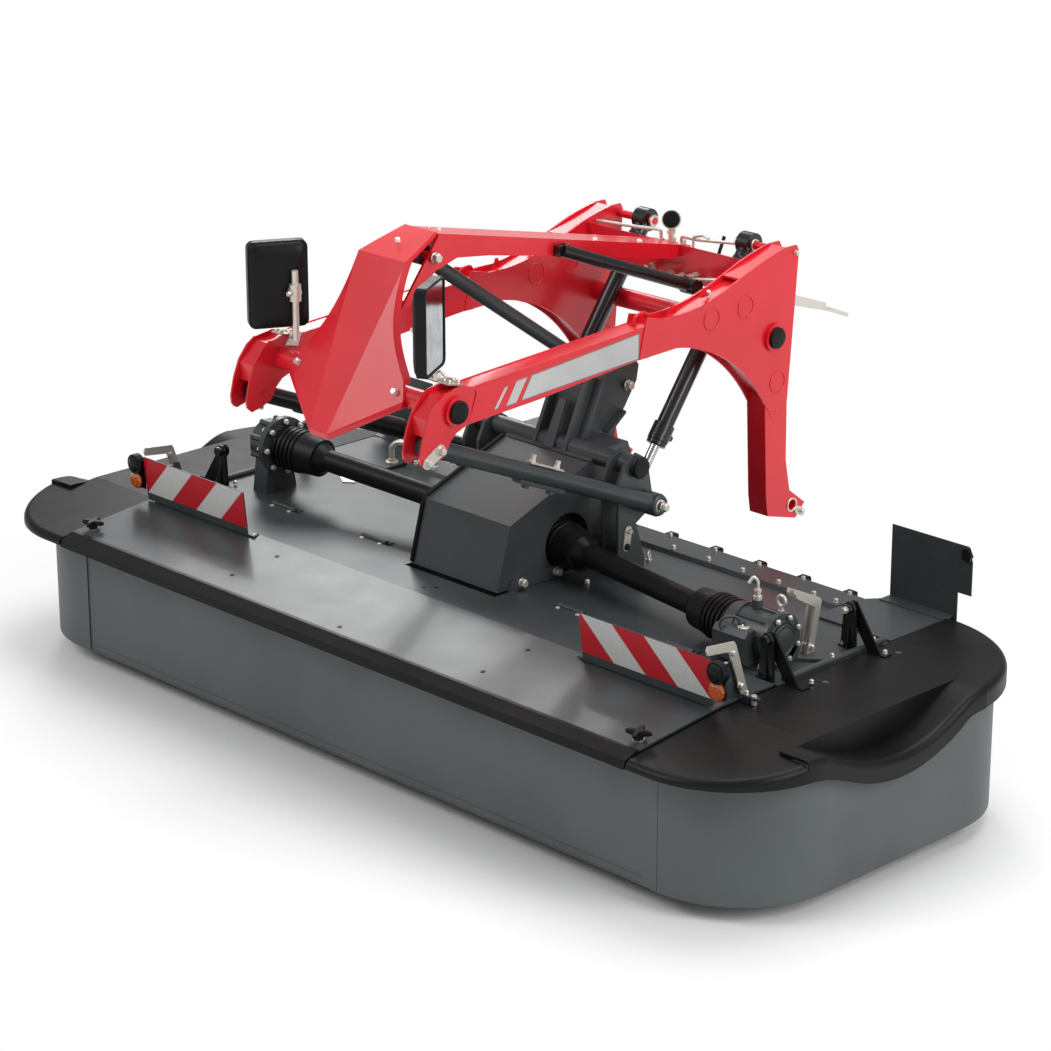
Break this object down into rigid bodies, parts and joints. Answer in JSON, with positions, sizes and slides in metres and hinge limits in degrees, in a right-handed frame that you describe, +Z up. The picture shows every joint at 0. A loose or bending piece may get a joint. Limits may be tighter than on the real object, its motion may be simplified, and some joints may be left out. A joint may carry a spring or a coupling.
{
  "type": "front-mounted disc mower conditioner",
  "caption": "Front-mounted disc mower with tined conditioner, curtained cover and a two-sided lift arch with links and relief cylinders.",
  "frame": {"origin": "on the ground under the middle of the machine, midway between its foremost and rearmost points", "axes": "+X to the machine's left as it travels, the side of the lower drive gearbox; -Y the way it travels; +Z up"},
  "size_m": [3.06, 1.81, 1.492],
  "materials": {
    "red_paint": "gloss",
    "slate_paint": "satin",
    "slate_curtain": "matt",
    "black_plastic": "grained",
    "black_paint": "satin",
    "black_rubber": "matt",
    "zinc_steel": "zinc plated",
    "bare_steel": "worn",
    "chrome_rod": "polished",
    "warning_board": "reflective",
    "lamp": "clear over amber"
  },
  "bodies": {
    "mower": {"deck_frame": "slate_paint", "deck_plate": "slate_paint", "cover_hinges": "black_paint", "rear_warning_boards": "slate_paint", "rear_rubber_strip": "black_rubber", "gearbox_cover": "slate_paint", "mast": "slate_paint", "centre_gearbox": "slate_paint", "side_gearboxes": "slate_paint", "shaft_guards": "black_plastic", "latch_handles": "zinc_steel", "cutter_bar": "slate_paint", "skids": "bare_steel", "conditioner_hood": "slate_paint"},
    "arch": {"arch_side_right": "red_paint", "arch_side_left": "red_paint", "arch_beam": "red_paint", "arch_cross_tubes": "red_paint", "nose_hood": "red_paint", "mirror_shells": "black_plastic", "mirror_stalks": "zinc_steel", "valve_block": "zinc_steel", "hose_holder": "zinc_steel", "guide_tube": "black_paint"},
    "lower_link_right": {"lower_link_right": "slate_paint"},
    "lower_link_left": {"lower_link_left": "black_paint", "lower_link_left_rod": "chrome_rod"},
    "upper_link": {"upper_link": "slate_paint"},
    "barrel_right": {"cylinder_barrel_right": "black_paint"},
    "barrel_left": {"cylinder_barrel_left": "black_paint"},
    "rod_right": {"cylinder_rod_right": "chrome_rod"},
    "rod_left": {"cylinder_rod_left": "chrome_rod"},
    "front_flap": {"front_flap": "slate_paint", "front_bumper": "black_plastic", "front_curtain": "slate_curtain", "front_warning_boards": "warning_board", "marker_lamps": "lamp", "star_knobs": "black_plastic", "flap_latches": "zinc_steel"},
    "end_cover_right": {"end_cover_right": "black_plastic", "end_curtain_right": "slate_curtain"},
    "end_cover_left": {"end_cover_left": "black_plastic", "end_curtain_left": "slate_curtain"},
    "rotor": {"tined_rotor": "slate_paint"},
    "swath_right": {"swath_board_right": "slate_paint"},
    "swath_left": {"swath_board_left": "slate_paint"},
    "disc_1": {"disc_1": "bare_steel"},
    "disc_2": {"disc_2": "bare_steel"},
    "disc_3": {"disc_3": "bare_steel"},
    "disc_4": {"disc_4": "bare_steel"},
    "disc_5": {"disc_5": "bare_steel"},
    "disc_6": {"disc_6": "bare_steel"},
    "disc_7": {"disc_7": "bare_steel"}
  },
  "joints": [
    {"name": "lift_swing", "type": "hinge", "parent": "mower", "child": "lower_link_right", "pos_m": [0.345, 0.04, 0.667], "axis": [1, 0, 0], "range_deg": [-8, 8]},
    {"name": "lower_link_left_swing", "type": "hinge", "parent": "mower", "child": "lower_link_left", "pos_m": [-0.345, 0.04, 0.667], "axis": [1, 0, 0], "range_deg": [-8.01, 8.01]},
    {"name": "arch_tilt", "type": "hinge", "parent": "lower_link_right", "child": "arch", "pos_m": [0.345, -0.803, 1.023], "axis": [1, 0, 0], "range_deg": [-5, 5]},
    {"name": "upper_link_swing", "type": "hinge", "parent": "mower", "child": "upper_link", "pos_m": [0, 0.215, 0.917], "axis": [1, 0, 0], "range_deg": [-8.01, 8.01]},
    {"name": "cylinder_right_swing", "type": "hinge", "parent": "arch", "child": "barrel_right", "pos_m": [0.205, 0.575, 1.29], "axis": [1, 0, 0], "range_deg": [-1.6, 1.6]},
    {"name": "cylinder_right_stroke", "type": "slide", "parent": "barrel_right", "child": "rod_right", "axis": [0, -0.5905, -0.8071], "range_m": [-0.075, 0.075]},
    {"name": "cylinder_left_swing", "type": "hinge", "parent": "arch", "child": "barrel_left", "pos_m": [-0.205, 0.575, 1.29], "axis": [1, 0, 0], "range_deg": [-1.6, 1.6]},
    {"name": "cylinder_left_stroke", "type": "slide", "parent": "barrel_left", "child": "rod_left", "axis": [0, -0.5905, -0.8071], "range_m": [-0.075, 0.075]},
    {"name": "flap_lift", "type": "hinge", "parent": "mower", "child": "front_flap", "pos_m": [0, -0.336, 0.467], "axis": [-1, 0, 0], "range_deg": [0, 40]},
    {"name": "end_cover_right_lift", "type": "hinge", "parent": "mower", "child": "end_cover_right", "pos_m": [1.1, -0.15, 0.57], "axis": [0, -1, 0], "range_deg": [0, 90]},
    {"name": "end_cover_left_lift", "type": "hinge", "parent": "mower", "child": "end_cover_left", "pos_m": [-1.1, -0.15, 0.57], "axis": [0, 1, 0], "range_deg": [0, 90]},
    {"name": "disc_1_spin", "type": "hinge", "parent": "mower", "child": "disc_1", "pos_m": [-1.23, -0.5, 0.1], "axis": [0, 0, 1], "continuous": true},
    {"name": "disc_2_spin", "type": "hinge", "parent": "mower", "child": "disc_2", "pos_m": [-0.82, -0.5, 0.1], "axis": [0, 0, 1], "continuous": true},
    {"name": "disc_3_spin", "type": "hinge", "parent": "mower", "child": "disc_3", "pos_m": [-0.41, -0.5, 0.1], "axis": [0, 0, 1], "continuous": true},
    {"name": "disc_4_spin", "type": "hinge", "parent": "mower", "child": "disc_4", "pos_m": [0, -0.5, 0.1], "axis": [0, 0, 1], "continuous": true},
    {"name": "disc_5_spin", "type": "hinge", "parent": "mower", "child": "disc_5", "pos_m": [0.41, -0.5, 0.1], "axis": [0, 0, 1], "continuous": true},
    {"name": "disc_6_spin", "type": "hinge", "parent": "mower", "child": "disc_6", "pos_m": [0.82, -0.5, 0.1], "axis": [0, 0, 1], "continuous": true},
    {"name": "disc_7_spin", "type": "hinge", "parent": "mower", "child": "disc_7", "pos_m": [1.23, -0.5, 0.1], "axis": [0, 0, 1], "continuous": true},
    {"name": "rotor_spin", "type": "hinge", "parent": "mower", "child": "rotor", "pos_m": [0, -0.05, 0.252], "axis": [1, 0, 0], "continuous": true},
    {"name": "swath_right_turn", "type": "hinge", "parent": "mower", "child": "swath_right", "pos_m": [0.882, 0.2, 0.2], "axis": [0, 0, 1], "range_deg": [0, 25]},
    {"name": "swath_left_turn", "type": "hinge", "parent": "mower", "child": "swath_left", "pos_m": [-0.882, 0.2, 0.2], "axis": [0, 0, -1], "range_deg": [0, 25]}
  ],
  "couplings": [
    {"joint": "lower_link_left_swing", "follows": "lift_swing", "ratio": 1},
    {"joint": "arch_tilt", "follows": "lift_swing", "ratio": -0.6213},
    {"joint": "upper_link_swing", "follows": "lift_swing", "ratio": 0.9998},
    {"joint": "cylinder_right_swing", "follows": "lift_swing", "ratio": -0.1938},
    {"joint": "cylinder_right_stroke", "follows": "lift_swing", "m_per_rad": -0.5281},
    {"joint": "cylinder_left_swing", "follows": "lift_swing", "ratio": -0.1938},
    {"joint": "cylinder_left_stroke", "follows": "lift_swing", "m_per_rad": -0.5281},
    {"joint": "disc_2_spin", "follows": "disc_1_spin", "ratio": -1},
    {"joint": "disc_3_spin", "follows": "disc_1_spin", "ratio": 1},
    {"joint": "disc_4_spin", "follows": "disc_1_spin", "ratio": -1},
    {"joint": "disc_5_spin", "follows": "disc_1_spin", "ratio": 1},
    {"joint": "disc_6_spin", "follows": "disc_1_spin", "ratio": -1},
    {"joint": "disc_7_spin", "follows": "disc_1_spin", "ratio": 1}
  ]
}
